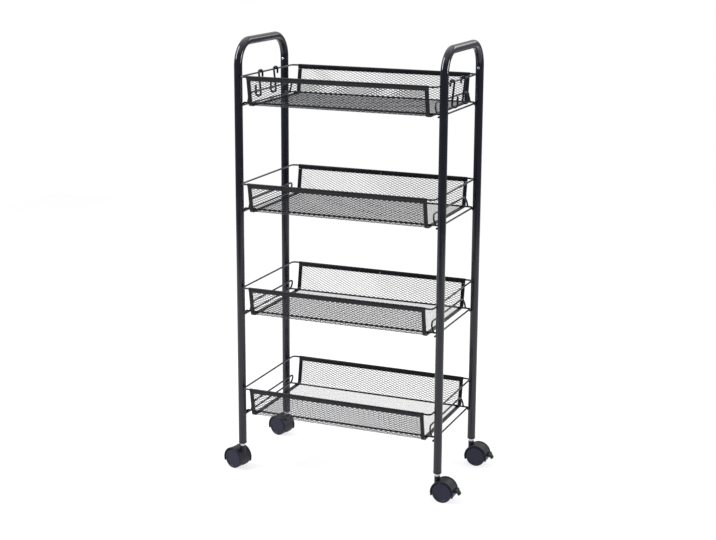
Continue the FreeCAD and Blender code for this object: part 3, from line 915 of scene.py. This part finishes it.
@dataclass(frozen=True)
class Softbox:
    """Rectangular light that runs from one point to another and faces a third."""

    name: str
    start: tuple[float, float, float]
    end: tuple[float, float, float]
    width: float
    target: tuple[float, float, float]
    brightness: float

    def build(self) -> None:
        """Hang the light."""
        run = Vector(self.end) - Vector(self.start)
        middle = (Vector(self.end) + Vector(self.start)) / 2
        along = run.normalized()
        back = (middle - Vector(self.target)).normalized()
        across = back.cross(along).normalized()
        data = bpy.data.lights.new(self.name, "AREA")
        data.shape = "RECTANGLE"
        data.size = run.length
        data.size_y = self.width
        # A flat light of brightness 1 gives pi watts for each square metre.
        data.energy = self.brightness * math.pi * run.length * self.width
        light = bpy.data.objects.new(self.name, data)
        axes = Matrix((along, across, along.cross(across))).transposed().to_4x4()
        light.matrix_world = Matrix.Translation(middle) @ axes
        light.visible_camera = False
        bpy.context.scene.collection.objects.link(light)


@dataclass
class Studio:
    """White floor, a white wall far behind the cart, a dim room before it and softboxes."""

    floor_side: float = 2.2
    floor_front: float = 1.7
    floor_back: float = 2.2
    white: str = "#ffffff"
    backdrop_light: float = 1.0
    wall_light: float = 0.85
    room_light: float = 0.3
    wall_depth: float = 0.4
    wall_foot: float = 0.05
    wall_top: float = 0.36
    softboxes: tuple[Softbox, ...] = (
        Softbox("overhead_softbox", (-2.2, 0.4, 3.2), (2.2, 0.4, 3.2), 4.4, (0.0, 0.4, 0.0), 0.78),
        Softbox("left_softbox", (-1.45, -1.2, 1.4), (-1.2, -0.2, 2.35), 0.5, (0.0, -0.1, 0.8), 18.0),
        Softbox("right_softbox", (2.7, 0.2, 0.95), (2.35, 1.05, 1.5), 0.5, (0.0, -0.1, 0.8), 18.0),
        Softbox("back_softbox", (0.5, 2.2, 1.75), (1.4, 2.2, 1.75), 0.7, (0.1, 0.0, 0.8), 2.5),
    )

    def build(self) -> None:
        """Make the floor, the room and the lights."""
        side, front, back = self.floor_side, -self.floor_front, self.floor_back
        corners = [(-side, front, 0), (side, front, 0), (side, back, 0), (-side, back, 0)]
        mesh = bpy.data.meshes.new("studio_floor")
        mesh.from_pydata(corners, [], [(0, 1, 2, 3)])
        mesh.materials.append(FLOOR.material())
        floor = bpy.data.objects.new("studio_floor", mesh)
        bpy.context.scene.collection.objects.link(floor)
        self.build_room()
        for softbox in self.softboxes:
            softbox.build()

    def build_room(self) -> None:
        """Make a room that is plain white where it is seen.

        The pieces mirror it as a white wall behind the cart and a dim room elsewhere.
        """
        world = bpy.data.worlds.new("studio_room")
        world.use_nodes = True
        tree = world.node_tree
        tree.nodes.clear()
        seen = add_node(tree, "ShaderNodeLightPath").outputs["Is Camera Ray"]
        way = add_node(tree, "ShaderNodeTexCoord").outputs["Generated"]
        parts = add_node(tree, "ShaderNodeSeparateXYZ", {0: way}).outputs
        back = add_node(
            tree, "ShaderNodeMapRange", {"Value": parts["Y"], "From Min": 0.0, "From Max": self.wall_depth}
        ).outputs[0]
        high = add_node(
            tree,
            "ShaderNodeMapRange",
            {"Value": parts["Z"], "From Min": self.wall_foot, "From Max": self.wall_top},
        ).outputs[0]
        wall = add_node(tree, "ShaderNodeMath", {0: back, 1: high}, operation="MULTIPLY").outputs[0]
        light = add_node(
            tree,
            "ShaderNodeMapRange",
            {"Value": wall, "To Min": self.room_light, "To Max": self.wall_light},
        )
        room = add_node(
            tree, "ShaderNodeBackground", {"Color": to_linear(self.white), "Strength": light.outputs[0]}
        )
        backdrop = add_node(
            tree,
            "ShaderNodeBackground",
            {"Color": to_linear(self.white), "Strength": self.backdrop_light},
        )
        both = add_node(tree, "ShaderNodeMixShader", {0: seen, 1: room.outputs[0], 2: backdrop.outputs[0]})
        add_node(tree, "ShaderNodeOutputWorld", {"Surface": both.outputs[0]})
        bpy.context.scene.world = world


@dataclass
class PhotoCamera:
    """Camera at the photograph's place, angle and focal length."""

    place: tuple[float, float, float] = (1.085, -2.635, 1.123)
    yaw_deg: float = 22.41
    pitch_deg: float = 12.64
    roll_deg: float = 0.30
    focal_px: float = 1478.0
    shift: float = -0.05
    sensor: float = 36.0

    def build(self) -> None:
        """Make the camera and look through it."""
        yaw = math.radians(self.yaw_deg)
        pitch = math.radians(self.pitch_deg)
        flat = math.cos(pitch)
        forward = Vector((-math.sin(yaw) * flat, math.cos(yaw) * flat, -math.sin(pitch)))
        level = Vector((math.cos(yaw), math.sin(yaw), 0.0))
        turn = Matrix.Rotation(-math.radians(self.roll_deg), 3, forward)
        right = turn @ level
        up = right.cross(forward)
        data = bpy.data.cameras.new("photo_camera")
        data.sensor_fit = "HORIZONTAL"
        data.sensor_width = self.sensor
        data.lens = self.focal_px / PHOTO_WIDTH * self.sensor
        data.shift_y = self.shift
        camera = bpy.data.objects.new("photo_camera", data)
        axes = Matrix((right, up, -forward)).transposed().to_4x4()
        camera.matrix_world = Matrix.Translation(self.place) @ axes
        bpy.context.scene.collection.objects.link(camera)
        bpy.context.scene.camera = camera


def main() -> None:
    """Build the looks around the frame, piece by piece."""
    logging.basicConfig(level=logging.INFO, format="%(name)s: %(message)s")
    expanded = ExpandedTray()
    mesh = expanded.mesh(Tier.TOP)
    baskets = [Basket(tier, expanded) for tier in Tier]
    for basket in baskets:
        tray = basket.build(mesh)
        basket.dress()
        LOG.info("basket %s: %s with %d faces", basket.tier.value, tray.name, len(mesh.polygons))
    for side in Side:
        side_frame = SideFrame(side)
        beads = side_frame.build(baskets)
        side_frame.dress()
        LOG.info("side frame %s coated, %s added", side.value, beads.name)
    for corner in Corner:
        Caster(corner).dress()
        LOG.info("caster %s finished", corner.value)
    for side in Side:
        for place in HookPlace:
            SHook(side, place).dress()
            LOG.info("hook %s %s coated", side.value, place.value)
    studio = Studio()
    studio.build()
    LOG.info("studio with %d softboxes", len(studio.softboxes))
    PhotoCamera().build()
    LOG.info("camera at the photograph's place")
    bpy.context.scene.view_settings.view_transform = "Standard"


if __name__ == "__main__":
    main()
